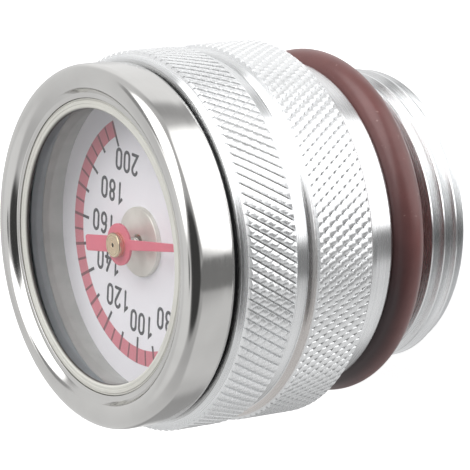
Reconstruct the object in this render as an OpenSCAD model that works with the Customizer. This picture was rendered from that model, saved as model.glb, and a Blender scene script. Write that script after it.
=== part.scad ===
// Oil filler cap with a bimetal dial thermometer.
// It stands on the rim of its threaded skirt, with the dial on top.
// Origin: centre of the rim. +Z runs up the axis to the dial, +Y to the middle of the scale.
// The screw thread is left as a plain cylinder of its outer diameter.

/* [Threaded skirt] */
// Outer diameter of the thread
thread_d = 30; // [26:0.5:36]
// Length of the thread
thread_len = 4.9; // [4:0.1:10]
// Chamfer at the start of the thread
lead_chamfer = 0.6; // [0.2:0.1:1.2]
// Depth of the relief behind the thread
relief_depth = 0.95; // [0.7:0.05:1.3]
// Free length of the relief, below the seal ring
relief_len = 1.78; // [0.8:0.01:4]
// Wall of the skirt, thread included
skirt_wall = 2.6; // [2.2:0.1:4]
// Depth of the hollow in the skirt
skirt_depth = 9; // [6:0.5:11]

/* [Seal ring] */
// Thickness of the brown seal ring
seal_section = 3.53; // [2.4:0.01:4.5]
// Play between the seal ring and the relief
seal_play = 0.035; // [0.01:0.005:0.2]

/* [Grip] */
// Diameter over the knurling
grip_d = 38; // [36:0.5:46]
// Length of the rear knurling
rear_grip_len = 6.1; // [4:0.1:10]
// Length of the front knurling
front_grip_len = 5.12; // [4:0.01:9]
// Chamfer behind the rear knurling
rear_chamfer = 0.6; // [0.2:0.1:1]
// Radial depth of the waist between the two grips
waist_depth = 0.8; // [0.4:0.1:1.4]
// Height of the cap's cove in the waist
cove_len = 0.92; // [0.6:0.02:1.6]
// Length of the holder's smooth waist
waist_len = 1.6; // [0.8:0.1:4]
// Edge break of the holder
edge_break = 0.22; // [0.1:0.02:0.4]
// Grooves of the knurling in each direction
knurl_starts = 108; // [90:2:130]
// Depth of the knurling
knurl_depth = 0.42; // [0.3:0.02:0.6]
// Pairs of diamond rows in the rear knurling
rear_rows = 3; // [2:1:5]
// Pairs of diamond rows in the front knurling
front_rows = 3; // [2:1:5]
// Open line between the cap and the holder
part_gap = 0.08; // [0.03:0.01:0.2]

/* [Collar] */
// Length of the tapered collar over the seal ring
collar_len = 2.62; // [1.5:0.01:5]
// Radius of the collar where it meets the seal ring
collar_low_r = 16.05; // [15.8:0.05:17]
// Radius of the collar under its fine step
collar_top_r = 16.88; // [16.2:0.02:17.6]
// Radial height of the fine step
step_h = 0.14; // [0.05:0.01:0.4]
// Length of the plain shoulder above the step
shoulder_len = 1.55; // [0.6:0.05:4]

/* [Swivel] */
// Wall of the spigot that the holder turns on
spigot_wall = 3.5; // [2:0.1:5]
// Radial running clearance of the spigot
swivel_play = 0.05; // [0.02:0.01:0.1]
// Thickness of the holder's web
web_t = 2.1; // [1.5:0.1:3]
// Thickness of the friction washer
washer_t = 0.4; // [0.2:0.1:0.8]
// Height of the ring nut
nut_h = 1.6; // [1.2:0.1:2.4]
// Radial width of the ring nut
nut_w = 2.25; // [1.5:0.05:2.6]
// Radial room between the ring nut and the holder
nut_room = 0.35; // [0.2:0.05:0.6]
// Width of the ring nut's spanner notches
notch_w = 3; // [1.5:0.1:4]
// Number of spanner notches
notch_n = 4; // [2:1:6]
// Height of the web round the stem
stem_web_h = 6; // [4:0.1:9]

/* [Gauge case] */
// Radial width of the grip outside the case
rim_w = 2.4; // [2:0.05:3]
// Wall of the case
case_wall = 0.6; // [0.4:0.05:1]
// Thickness of the case floor
case_floor = 0.8; // [0.5:0.1:1.2]
// Depth of the case floor below the holder's front face
case_sunk = 1.35; // [0.6:0.05:2]
// Radial width of the case flange
flange_w = 0.8; // [0.4:0.05:1]
// Thickness of the case flange
flange_t = 0.6; // [0.4:0.05:1]
// Thickness of the rubber sleeve round the case
sleeve_t = 0.26; // [0.15:0.01:0.5]
// Radial play on each side of the rubber sleeve
sleeve_play = 0.02; // [0.01:0.01:0.1]
// Radial width of the sleeve's lip on the holder's face
lip_w = 0.75; // [0.4:0.05:1]
// Thickness of the sleeve's lip
lip_t = 0.7; // [0.4:0.05:1]
// Radial width of the holder's seat under the case
seat_w = 1.3; // [0.8:0.05:1.6]
// Height of the sloped land on the holder's front face
land_h = 0.55; // [0.3:0.05:0.65]
// Radial width from the grip to the land's upper edge
land_inset = 0.8; // [0.5:0.05:1]
// Radial gap between the land and the rubber lip
land_gap = 0.1; // [0.05:0.05:0.3]

/* [Bezel and lens] */
// Radial width of the bezel and gasket from the case's outside to the window
window_inset = 3; // [2.4:0.05:3.4]
// Width of the gasket that shows inside the bezel
gasket_show = 1; // [0.4:0.05:1.4]
// Thickness of the lens gasket
gasket_t = 0.3; // [0.2:0.05:0.6]
// Height of the gasket's bead at the window
bead_h = 0.4; // [0.1:0.05:0.6]
// Thickness of the lens
lens_t = 0.75; // [0.5:0.05:1.5]
// Thickness of the rubber seat under the lens
lens_seat_t = 1; // [0.6:0.1:1.6]
// Radius of the bezel's rolled edge
roll_r = 1.4; // [1:0.05:1.8]
// Thickness of the bezel's sheet
bezel_t = 0.5; // [0.3:0.05:0.7]
// Slope where the bezel leaves the window
bezel_slope = 35; // [25:1:45]
// Gap between the bezel's rear edge and the rubber lip
bezel_gap = 0.1; // [0.05:0.01:0.3]

/* [Dial] */
// Thickness of the dial plate
dial_t = 0.5; // [0.3:0.05:1]
// Height of the spacer between dial and lens seat
spacer_h = 2.8; // [2.5:0.1:4]
// Radial width of the spacer
spacer_w = 0.95; // [0.6:0.05:1.5]
// Radial play of the dial and the spacer in the case
dial_play = 0.05; // [0.02:0.01:0.2]
// Radius of the round nut on the dial
dial_nut_r = 3.5; // [3:0.1:4.5]
// Height of the round nut
dial_nut_h = 0.5; // [0.4:0.05:1.4]

/* [Pointer] */
// Temperature shown at rest, in degrees
reading_degrees = 32; // [0:1:200]
// Turn of the pointer for one degree
turn_per_degree = 1.5; // [1.2:0.05:1.6]
// Temperature at the middle of the scale
middle_degrees = 100; // [50:10:150]
// Reach of the pointer's tip
tip_reach = 11.5; // [9:0.1:12.5]
// Reach of the pointer's tail
tail_reach = 6.1; // [4:0.1:8]
// Width of the pointer where it leaves the disc
pointer_root_w = 1.1; // [0.8:0.05:1.6]
// Width of the pointer's tip
pointer_tip_w = 0.72; // [0.4:0.02:1]
// Width of the pointer's tail
tail_w = 1.62; // [1:0.02:2.4]
// Corner radius of the tail
tail_corner = 0.3; // [0.1:0.05:0.5]
// Thickness of the pointer
pointer_t = 0.3; // [0.2:0.05:0.5]
// Radius of the pointer's disc
disc_r = 2.1; // [1.8:0.05:3]
// Height of the pointer above the dial
pointer_lift = 2.5; // [1.8:0.1:2.8]
// Radius of the brass hub
hub_r = 1.24; // [1:0.02:1.6]
// Height of the hub above the pointer
hub_h = 0.7; // [0.3:0.05:0.9]
// Radius of the small centre hole in the hub
hub_hole_r = 0.2; // [0.1:0.05:0.3]

/* [Stem] */
// Radius of the stem where it turns in the cap
shank_r = 5; // [4.5:0.1:6]
// Radial running clearance of the stem
shank_play = 0.05; // [0.02:0.01:0.1]
// Radius of the sensor tube
tube_r = 3; // [2.8:0.05:3.4]
// Wall of the sensor tube
tube_wall = 0.4; // [0.3:0.05:0.6]
// Height of the tube's tip above the rim
tube_tip_z = 1.2; // [0.6:0.1:4]
// Height of the shank's lower end above the rim
shank_z = 5.5; // [3:0.1:7]
// Width across the flats of the stem's hexagon
hex_af = 12; // [10.5:0.5:14]
// Height of the hexagon
hex_h = 1; // [0.8:0.1:1.2]
// Radius of the neck through the case and the dial
neck_r = 2.4; // [2.2:0.1:2.8]
// Thickness of the stem's seal
stem_seal_section = 1.2; // [1:0.05:1.4]
// Length of the end plug
plug_len = 1.7; // [1.2:0.1:3]

/* [Bimetal and spindle] */
// Radius of the spindle
spindle_r = 0.55; // [0.4:0.05:0.8]
// Radial running clearance of the spindle
spindle_play = 0.03; // [0.02:0.01:0.06]
// Mean radius of the bimetal helix
helix_r = 2.12; // [2:0.02:2.2]
// Thickness of the bimetal strip
strip_t = 0.26; // [0.15:0.01:0.4]
// Width of the bimetal strip
strip_w = 0.9; // [0.6:0.05:1]
// Rise of the helix in one turn
helix_pitch = 1.5; // [1.4:0.05:1.9]
// Number of turns in the helix
helix_turns = 9; // [5:0.5:10]
// Length of the helix collar on the spindle
collar_h = 1.4; // [1:0.1:2]
// Radial gap between the collar and the helix
collar_gap = 0.35; // [0.3:0.05:0.6]
// Length of each spindle bush
bush_len = 1.5; // [1:0.1:2]

/* [Hidden] */
$fn = 96;
// Overlap of cutting solids past the faces that they cut
over = 1;
// Steps of a rounded corner
arc_n = 8;
// Points of the helix in one turn
helix_n = 24;
// Depth of the turned core and of the knurled ring's inside below the knurling's roots
core_under_root = 0.12;
ring_under_root = 0.8;

// Heights of the cap body
thread_r = thread_d / 2;
relief_r = thread_r - relief_depth;
skirt_bore_r = thread_r - skirt_wall;
seal_z = thread_len + relief_len + seal_section / 2;
collar_z = thread_len + relief_len + seal_section;
step_z = collar_z + collar_len;
rear_z = step_z + shoulder_len;
rear_knurl_z = rear_z + rear_chamfer;
rear_knurl_top = rear_knurl_z + rear_grip_len;
part_z = rear_knurl_top + cove_len;
grip_r = grip_d / 2;
waist_r = grip_r - waist_depth;
root_r = grip_r - knurl_depth;
knurl_core_r = root_r - core_under_root;
knurl_ring_r = root_r - ring_under_root;
cove_r = waist_depth / 2 + 0.02;

// Heights of the swivel and the gauge holder
holder_z = part_z + part_gap;
web_z = holder_z + web_t;
nut_z = web_z + washer_t;
spigot_z = nut_z + nut_h;
front_knurl_z = holder_z + waist_len + edge_break;
front_knurl_top = front_knurl_z + front_grip_len;
front_z = front_knurl_top + edge_break;
case_r = grip_r - rim_w;
sleeve_in_r = case_r + sleeve_play;
sleeve_out_r = sleeve_in_r + sleeve_t;
holder_bore_r = sleeve_out_r + sleeve_play;
seat_r = holder_bore_r - seat_w;
nut_r = seat_r - nut_room;
spigot_r = nut_r - nut_w;
spigot_bore_r = spigot_r - spigot_wall;

// Heights of the gauge
case_z = front_z - case_sunk;
floor_z = case_z + case_floor;
dial_z = floor_z + dial_t;
case_top = dial_z + spacer_h;
lens_z = case_top + lens_seat_t;
gasket_z = lens_z + lens_t;
window_z = gasket_z + gasket_t + bead_h;
lip_top = front_z + lip_t;
bezel_z = lip_top + bezel_gap;
flange_z = bezel_z + bezel_t + bezel_gap;
flange_r = case_r + flange_w;
lens_r = flange_r - 0.1;
bezel_in_r = flange_r + 0.1;
bezel_r = bezel_in_r + bezel_t;
roll_in_r = roll_r - bezel_t;
roll_mid_r = bezel_r + 0.1 - roll_r;
window_r = case_r - window_inset;
bezel_lip_r = window_r + gasket_show;
land_top = front_z + land_h;
land_in_r = case_r + lip_w + land_gap;
case_bore_r = case_r - case_wall;
dial_r = case_bore_r - dial_play;
dial_show_r = dial_r - spacer_w;

// Heights of the stem, the bimetal and the pointer
tube_in_r = tube_r - tube_wall;
shank_bore_r = tube_r + 0.05;
web_bore_r = shank_r + shank_play;
stem_seal_z = skirt_depth + stem_web_h / 2;
stem_seal_r = shank_r - stem_seal_section / 2 + 0.01;
stem_groove_w = stem_seal_section + 0.2;
stem_groove_r = stem_seal_r - stem_seal_section / 2 - 0.02;
neck_top = dial_z + dial_nut_h - 0.2;
bush_r = 1.2;
bore_r = spindle_r + spindle_play;
plug_z = tube_tip_z;
helix_z = plug_z + plug_len + strip_w / 2 + 0.05;
helix_top = helix_z + helix_turns * helix_pitch;
lower_bush_z = helix_top + strip_w / 2 + 0.3;
tube_top = lower_bush_z + bush_len + 0.2;
collar_r = helix_r - strip_t / 2 - collar_gap;
spindle_z = helix_top - collar_h - 0.6;
pointer_z = dial_z + pointer_lift;
hub_top = pointer_z + pointer_t + hub_h;
rest_turn = (middle_degrees - reading_degrees) * turn_per_degree;
strip_gap = helix_pitch - strip_w;
echo(bimetal_gap = strip_gap);

// Points of an arc about [cx, cy] from angle a0 to a1
function arc(cx, cy, r, a0, a1, n = arc_n) =
    [for (i = [0:n]) let (a = a0 + (a1 - a0) * i / n) [cx + r * cos(a), cy + r * sin(a)]];

// Solid turned about Z from an outline of [radius, height] points
module turned(outline) {
    rotate_extrude() polygon(outline);
}

module tube(r_out, r_in, z, h) {
    translate([0, 0, z]) difference() {
        cylinder(r = r_out, h = h);
        translate([0, 0, -over]) cylinder(r = r_in, h = h + 2 * over);
    }
}

// Diamond knurling: each level of points has crests and roots in turn, and the next level swaps them.
// Two plain rings of points inside close the knurled side to a ring.
knurl_n = 2 * knurl_starts;
function knurl_point(ring, k) = knurl_n * ring + k % knurl_n;
function knurl_circle(z, parity, crest_r, valley_r) = [for (k = [0:knurl_n - 1])
    let (a = 360 * k / knurl_n, r = (k + parity) % 2 == 0 ? crest_r : valley_r) [r * cos(a), r * sin(a), z]];
function knurl_cell(below, above, k, parity) = (k + parity) % 2 == 0
    ? [[knurl_point(below, k), knurl_point(above, k), knurl_point(below, k + 1)],
        [knurl_point(above, k), knurl_point(above, k + 1), knurl_point(below, k + 1)]]
    : [[knurl_point(below, k), knurl_point(above, k), knurl_point(above, k + 1)],
        [knurl_point(below, k), knurl_point(above, k + 1), knurl_point(below, k + 1)]];

// Ring with a diamond knurled side from height z, with two levels for each pair of rows
module knurled_ring(z, h, rows) {
    levels = 2 * rows;
    points = concat(
        [for (level = [0:levels]) each knurl_circle(z + h * level / levels, level, grip_r, root_r)],
        knurl_circle(z + h, 0, knurl_ring_r, knurl_ring_r),
        knurl_circle(z, 0, knurl_ring_r, knurl_ring_r)
    );
    faces = [for (ring = [0:levels + 2], k = [0:knurl_n - 1],
        face = knurl_cell(ring, (ring + 1) % (levels + 3), k, ring)) face];
    polyhedron(points, faces);
}

// Outline of the cap from its rim to the spigot, with the cove at the waist
cap_outline = concat(
    [[0, 0], [thread_r - lead_chamfer, 0], [thread_r, lead_chamfer], [thread_r, thread_len],
        [relief_r, thread_len + relief_depth * 0.5], [relief_r, collar_z], [collar_low_r - 0.15, collar_z],
        [collar_low_r, collar_z + 0.15], [collar_top_r, step_z], [collar_top_r + step_h, step_z],
        [collar_top_r + step_h, rear_z], [grip_r - rear_chamfer, rear_z],
        [grip_r - rear_chamfer, rear_knurl_z + knurl_depth], [knurl_core_r, rear_knurl_top - knurl_depth]],
    arc(waist_r + cove_r, part_z - 0.06, cove_r, 250, 180, 5),
    [[spigot_r, part_z], [spigot_r, spigot_z - 0.4], [spigot_r - 0.4, spigot_z], [0, spigot_z]]
);

// Hollows of the cap: the skirt's inside, the bore that the stem turns in, and the spigot's inside
cap_hollow = concat(
    [[0, -over], [skirt_bore_r, -over]],
    arc(skirt_bore_r - 1, skirt_depth - 1, 1, 0, 90, 5),
    [[web_bore_r + 0.4, skirt_depth], [web_bore_r, skirt_depth + 0.4],
        [web_bore_r, skirt_depth + stem_web_h - 0.4], [web_bore_r + 0.4, skirt_depth + stem_web_h],
        [spigot_bore_r, skirt_depth + stem_web_h], [spigot_bore_r, spigot_z - 0.3],
        [spigot_bore_r + 0.3 + over, spigot_z + over], [0, spigot_z + over]]
);

module cap_body() {
    color([0.86, 0.87, 0.88]) difference() {
        union() {
            turned(cap_outline);
            knurled_ring(rear_knurl_z, rear_grip_len, rear_rows);
        }
        turned(cap_hollow);
    }
}

module seal_ring() {
    color([0.42, 0.22, 0.2]) translate([0, 0, seal_z]) rotate_extrude()
        translate([relief_r + seal_play + seal_section / 2, 0]) circle(d = seal_section);
}

// Ring nut that keeps the holder on the spigot, with spanner notches
module ring_nut() {
    color([0.74, 0.75, 0.76]) difference() {
        tube(nut_r, spigot_r + swivel_play, nut_z, nut_h);
        for (i = [0:notch_n - 1]) rotate([0, 0, i * 360 / notch_n])
            translate([nut_r, 0, spigot_z]) cube([nut_w, notch_w, nut_h], center = true);
    }
}

holder_outline = [[0, holder_z], [waist_r - edge_break, holder_z], [waist_r, holder_z + edge_break],
    [waist_r, holder_z + waist_len], [knurl_core_r, front_knurl_z - edge_break], [knurl_core_r, front_z],
    [grip_r - land_inset, land_top], [0, land_top]];

// Hollow of the holder: the bore on the spigot, the room for the ring nut, the seat of the gauge
// and the room for the rubber lip
holder_hollow = [[0, holder_z - over], [spigot_r + swivel_play, holder_z - over],
    [spigot_r + swivel_play, web_z], [seat_r, web_z], [seat_r, case_z], [holder_bore_r, case_z],
    [holder_bore_r, front_z], [land_in_r, front_z], [land_in_r, land_top + over], [0, land_top + over]];

module gauge_holder() {
    color([0.88, 0.89, 0.9]) difference() {
        union() {
            turned(holder_outline);
            knurled_ring(front_knurl_z, front_grip_len, front_rows);
        }
        turned(holder_hollow);
    }
}

module friction_washer() {
    color([0.6, 0.58, 0.5]) tube(nut_r - 0.1, spigot_r + 0.3, web_z, washer_t);
}

// Rubber sleeve round the case, with a lip that fills the gap behind the bezel
module rubber_sleeve() {
    color([0.1, 0.1, 0.11]) turned([[sleeve_in_r, case_z], [sleeve_out_r, case_z], [sleeve_out_r, front_z],
        [case_r + lip_w, front_z], [case_r + lip_w, lip_top], [sleeve_in_r, lip_top]]);
}

// Drawn case: a cup with a flange for the bezel and a hole for the stem's neck
module gauge_case() {
    hole_r = neck_r + 0.05;
    color([0.66, 0.67, 0.68]) turned(concat(
        [[hole_r, case_z]],
        arc(case_r - case_wall, case_z + case_wall, case_wall, 270, 360, 5),
        [[case_r, flange_z], [flange_r, flange_z], [flange_r, flange_z + flange_t],
            [case_r, flange_z + flange_t], [case_r, case_top], [case_bore_r, case_top],
            [case_bore_r, floor_z], [hole_r, floor_z]]
    ));
}

module dial_plate() {
    color([0.9, 0.91, 0.93]) tube(dial_r, neck_r + 0.05, floor_z, dial_t);
}

module spacer_ring() {
    color([0.6, 0.6, 0.61]) tube(dial_r, dial_show_r, dial_z, spacer_h);
}

module lens_seat() {
    color([0.27, 0.28, 0.3]) tube(lens_r, dial_show_r, case_top, lens_seat_t);
}

module lens() {
    color([0.85, 0.9, 0.92, 0.35]) translate([0, 0, lens_z]) cylinder(r = lens_r, h = lens_t);
}

// Gasket under the bezel's edge, with a bead that shows round the window
module lens_gasket() {
    color([0.83, 0.81, 0.74]) turned([[window_r, gasket_z], [lens_r, gasket_z], [lens_r, gasket_z + gasket_t],
        [bezel_lip_r - 0.05, gasket_z + gasket_t], [bezel_lip_r - 0.1, window_z - 0.02],
        [window_r + 0.1, window_z], [window_r, window_z - 0.1]]);
}

// Rolled bezel of bent sheet: sloped front, round outer edge, skirt and rear edge turned in under the flange
lip_rise = 0.06; // height of the bezel's inner edge above the bead
roll_z = window_z - bead_h;
rear_roll_r = 0.7;
bezel_outline = concat(
    [[bezel_lip_r, gasket_z + gasket_t + 0.02], [bezel_lip_r, window_z + lip_rise]],
    arc(roll_mid_r, roll_z, roll_r, 90 + bezel_slope, 0, 14),
    [[bezel_r, flange_z + flange_t]],
    arc(bezel_r - rear_roll_r, bezel_z + rear_roll_r, rear_roll_r, 0, -90),
    [[case_r + 0.15, bezel_z], [case_r + 0.15, bezel_z + bezel_t], [bezel_in_r - 0.2, bezel_z + bezel_t],
        [bezel_in_r, bezel_z + bezel_t + 0.2], [bezel_in_r + 0.02, roll_z]],
    arc(roll_mid_r, roll_z, roll_in_r, 0, 90 + bezel_slope, 10)
);

module bezel_ring() {
    color([0.78, 0.79, 0.8]) turned(bezel_outline);
}

// Stem shank: it turns in the cap's web, carries the tube below and the case above
module stem_shank() {
    color([0.72, 0.7, 0.62]) difference() {
        union() {
            translate([0, 0, shank_z]) cylinder(r = shank_r, h = case_z - hex_h - shank_z);
            translate([0, 0, case_z - hex_h]) cylinder(d = hex_af / cos(30), h = hex_h, $fn = 6);
            translate([0, 0, case_z - over]) cylinder(r = neck_r, h = neck_top - case_z + over);
        }
        translate([0, 0, shank_z - over]) cylinder(r = shank_bore_r, h = tube_top - shank_z + over);
        translate([0, 0, shank_z]) cylinder(r = bush_r, h = neck_top - shank_z + over);
        tube(shank_r + over, stem_groove_r, stem_seal_z - stem_groove_w / 2, stem_groove_w);
    }
}

module stem_seal() {
    color([0.1, 0.1, 0.1]) translate([0, 0, stem_seal_z]) rotate_extrude()
        translate([stem_seal_r, 0]) circle(d = stem_seal_section);
}

module sensor_tube() {
    color([0.75, 0.76, 0.77]) tube(tube_r, tube_in_r, tube_tip_z, tube_top - tube_tip_z);
}

// Plug that closes the tube and holds the lower end of the helix
module end_plug() {
    plug_r = tube_in_r - 0.02;
    color([0.72, 0.62, 0.36]) difference() {
        union() {
            translate([0, 0, plug_z]) cylinder(r = plug_r, h = plug_len);
            translate([0, 0, plug_z]) cylinder(r = helix_r - strip_t / 2 - 0.05, h = plug_len + strip_w);
        }
        translate([0, 0, plug_z + plug_len]) cylinder(r = spindle_r + collar_gap, h = strip_w + over);
    }
}

// Bimetal strip wound as one helix, a rectangle swept up the turns
helix_steps = round(helix_turns * helix_n);
helix_corners = [[-strip_t / 2, -strip_w / 2], [strip_t / 2, -strip_w / 2],
    [strip_t / 2, strip_w / 2], [-strip_t / 2, strip_w / 2]];
helix_points = [for (i = [0:helix_steps], c = helix_corners)
    let (a = i * 360 / helix_n, r = helix_r + c[0])
    [r * cos(a), r * sin(a), helix_z + i * helix_pitch / helix_n + c[1]]];
helix_faces = concat(
    [[0, 1, 2], [0, 2, 3]],
    [for (i = [0:helix_steps - 1], k = [0:3]) let (p = 4 * i + k, q = 4 * i + (k + 1) % 4) [p, p + 4, q]],
    [for (i = [0:helix_steps - 1], k = [0:3]) let (p = 4 * i + k, q = 4 * i + (k + 1) % 4) [q, p + 4, q + 4]],
    [let (e = 4 * helix_steps) [e + 2, e + 1, e], let (e = 4 * helix_steps) [e + 3, e + 2, e]]
);

module bimetal_helix() {
    color([0.7, 0.6, 0.42]) polyhedron(helix_points, helix_faces);
}

module lower_bush() {
    color([0.78, 0.66, 0.36]) tube(tube_in_r - 0.02, bore_r, lower_bush_z, bush_len);
}

module upper_bush() {
    color([0.78, 0.66, 0.36]) tube(bush_r - 0.02, bore_r, neck_top - bush_len, bush_len);
}

// Round nut that clamps the dial and the case on the stem's neck
module dial_nut() {
    color([0.78, 0.78, 0.74]) difference() {
        turned([[0, dial_z], [dial_nut_r, dial_z], [dial_nut_r, dial_z + dial_nut_h - 0.15],
            [dial_nut_r - 0.15, dial_z + dial_nut_h], [0, dial_z + dial_nut_h]]);
        translate([0, 0, dial_z - over]) cylinder(r = neck_r + 0.05, h = neck_top - dial_z + 0.05 + over);
        translate([0, 0, dial_z]) cylinder(r = bore_r + 0.2, h = dial_nut_h + over);
    }
}

module spindle() {
    color([0.7, 0.71, 0.72]) translate([0, 0, spindle_z]) cylinder(r = spindle_r, h = pointer_z - spindle_z + hub_h / 2);
}

// Collar on the spindle that the upper end of the helix grips
module helix_collar() {
    color([0.78, 0.66, 0.36]) tube(collar_r, spindle_r + 0.01, helix_top - collar_h, collar_h);
}

module pointer() {
    color([0.85, 0.25, 0.3]) rotate([0, 0, rest_turn]) translate([0, 0, pointer_z])
        linear_extrude(pointer_t) difference() {
            union() {
                circle(r = disc_r);
                polygon([[-pointer_root_w / 2, 0], [pointer_root_w / 2, 0],
                    [pointer_tip_w / 2, tip_reach], [-pointer_tip_w / 2, tip_reach]]);
                translate([-tail_w / 2, tail_corner - tail_reach]) square([tail_w, tail_reach - tail_corner]);
                translate([tail_corner - tail_w / 2, -tail_reach])
                    square([tail_w - 2 * tail_corner, tail_reach]);
                for (side = [-1, 1]) translate([side * (tail_w / 2 - tail_corner), tail_corner - tail_reach])
                    circle(r = tail_corner);
            }
            circle(r = spindle_r + 0.02);
        }
}

module pointer_hub() {
    color([0.82, 0.72, 0.48]) difference() {
        turned([[0, pointer_z + pointer_t], [hub_r, pointer_z + pointer_t], [hub_r, hub_top - 0.1],
            [hub_r - 0.1, hub_top], [0, hub_top]]);
        translate([0, 0, pointer_z]) cylinder(r = spindle_r + 0.01, h = hub_h / 2 + 0.02);
        translate([0, 0, pointer_z]) cylinder(r = hub_hole_r, h = hub_h + pointer_t + over);
    }
}

cap_body();
seal_ring();
ring_nut();
gauge_holder();
friction_washer();
rubber_sleeve();
gauge_case();
dial_plate();
spacer_ring();
lens_seat();
lens();
lens_gasket();
bezel_ring();
stem_shank();
stem_seal();
sensor_tube();
end_plug();
bimetal_helix();
lower_bush();
upper_bush();
dial_nut();
spindle();
helix_collar();
pointer();
pointer_hub();
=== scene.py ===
"""Looks of an oil filler cap with a dial thermometer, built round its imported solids."""

import math

import bmesh
import bpy
from bpy.props import FloatProperty, FloatVectorProperty, IntProperty, PointerProperty
from mathutils import Matrix, Vector


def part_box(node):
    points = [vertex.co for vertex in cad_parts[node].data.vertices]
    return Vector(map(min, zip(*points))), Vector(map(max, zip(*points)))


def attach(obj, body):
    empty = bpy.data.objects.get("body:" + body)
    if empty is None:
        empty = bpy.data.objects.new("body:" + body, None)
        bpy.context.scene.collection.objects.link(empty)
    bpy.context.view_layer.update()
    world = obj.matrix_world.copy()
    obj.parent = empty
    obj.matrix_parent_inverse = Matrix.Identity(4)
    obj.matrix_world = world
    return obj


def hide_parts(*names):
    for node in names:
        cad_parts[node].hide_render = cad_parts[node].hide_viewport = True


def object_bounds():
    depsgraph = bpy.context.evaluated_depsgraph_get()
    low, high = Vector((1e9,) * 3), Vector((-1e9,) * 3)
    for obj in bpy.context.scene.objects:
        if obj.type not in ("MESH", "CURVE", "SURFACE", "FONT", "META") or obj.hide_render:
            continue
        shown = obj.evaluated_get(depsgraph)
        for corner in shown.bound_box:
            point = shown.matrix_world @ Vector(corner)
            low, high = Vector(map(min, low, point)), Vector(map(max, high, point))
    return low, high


bl_info = {
    "name": "Oil filler cap thermometer",
    "version": (1, 0, 0),
    "blender": (4, 5, 0),
    "location": "3D View > Sidebar > Oil Cap",
    "description": "Builds the looks of an oil filler cap with a dial thermometer",
    "category": "Object",
}

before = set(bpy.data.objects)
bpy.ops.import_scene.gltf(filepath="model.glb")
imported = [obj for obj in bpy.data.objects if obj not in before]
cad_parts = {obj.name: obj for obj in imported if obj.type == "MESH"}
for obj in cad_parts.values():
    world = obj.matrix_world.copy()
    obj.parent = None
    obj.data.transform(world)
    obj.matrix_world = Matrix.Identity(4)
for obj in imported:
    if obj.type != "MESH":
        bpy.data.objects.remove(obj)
cad_low, cad_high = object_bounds()

MM = 0.001
# How near counts as the same: in a formula, in metres where a mesh is welded, and in mm on a cut edge
TINY = 1e-6
WELD = 2e-6
NEAR = 1e-5
# Faces round a turned piece
SLICES = 216
ALUMINIUM = "lathe_turned_aluminium"

# Sizes in mm that more than one piece or finish keeps to: radii of the knurling, of the lands beside it and
# of the dial's red band, and the foot and top of each knurled band
GRIP_R = cad_high.x / MM
LAND_R = 18.2
RED_IN, RED_OUT = 11.0, 12.6
REAR_BAND = (14.98, 21.08)
FRONT_BAND = (23.90, 29.02)

# A slice of knurling runs over two columns, one on each side of its middle
COLUMNS = (-1.0, 0.0, 1.0)

# Turn in degrees of the side that the photograph shows nearest
NEAR_SIDE = 198


def linear(hex_colour):
    """Linear colour of an sRGB hex value."""
    parts = [int(hex_colour[i : i + 2], 16) / 255 for i in (0, 2, 4)]
    return [c / 12.92 if c <= 0.04045 else ((c + 0.055) / 1.055) ** 2.4 for c in parts]


def colour(name, about, hex_colour):
    """A colour that a user can change in the sidebar."""
    return FloatVectorProperty(name=name, description=about, subtype="COLOR", size=3, min=0, max=1,
                               default=linear(hex_colour))


def length(name, about, mm):
    """A length that a user can change in the sidebar, given in mm and kept in metres."""
    return FloatProperty(name=name, description=about, subtype="DISTANCE", unit="LENGTH", min=0,
                         precision=5, default=mm * MM)


class OilCapSizes(bpy.types.PropertyGroup):
    """Sizes of the parts that scene.py shapes itself."""

    grooves: IntProperty(name="Knurl grooves", description="Grooves of each direction round a grip",
                         default=116, min=24, max=160)
    rear_rows: IntProperty(name="Rear rows", description="Diamonds up the rear grip",
                           default=4, min=1, max=8)
    front_rows: IntProperty(name="Front rows", description="Diamonds up the front grip",
                            default=3, min=1, max=8)
    groove_depth: length("Groove depth", "Depth of the knurl grooves", 0.36)
    thread_pitch: length("Thread pitch", "Rise of the filler thread in one turn", 1.5)
    thread_depth: length("Thread depth", "Depth of the filler thread", 0.92)
    digit_height: length("Digit height", "Height of the dial's digits", 2.3)
    digit_width: length("Digit width", "Width of the pen strokes of the digits", 0.33)
    ink: length("Ink thickness", "Height of the print above the dial", 0.012)
    tick_width: length("Tick width", "Width of the dial's marks", 0.3)


class OilCapColours(bpy.types.PropertyGroup):
    """Colours of the finishes."""

    aluminium: colour("Aluminium", "Bright turned aluminium of cap and holder", "F1F2F3")
    steel: colour("Bezel steel", "Polished steel of the bezel", "D6D5D3")
    seal: colour("Seal rubber", "Brown rubber of the seal ring", "6F4543")
    gasket: colour("Gasket", "Pale ring round the glass", "CBCAC3")
    dial: colour("Dial", "White lacquer of the dial", "F6F4F9")
    band: colour("Band", "Red print under the marks", "DD8793")
    ink: colour("Ink", "Dark print of marks and digits", "505054")
    pointer: colour("Pointer", "Red lacquer of the pointer", "D96A7D")
    brass: colour("Brass", "Brass of the pointer's hub", "E4D0AE")


def sizes():
    """The size settings of the scene."""
    return bpy.context.scene.oil_cap_sizes


def tones():
    """The colour settings of the scene."""
    return bpy.context.scene.oil_cap_colours


def paint(hex_colour):
    """Linear colour of an sRGB hex value, with its alpha."""
    return (*linear(hex_colour), 1.0)


def darker(tone, share):
    """A colour taken part of the way to black."""
    return tuple(part * (1 - share) for part in tone)


def span(node):
    """Outer radius, foot and top of a solid in mm."""
    low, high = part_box(node)
    return high.x / MM, low.z / MM, high.z / MM


# Materials


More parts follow.
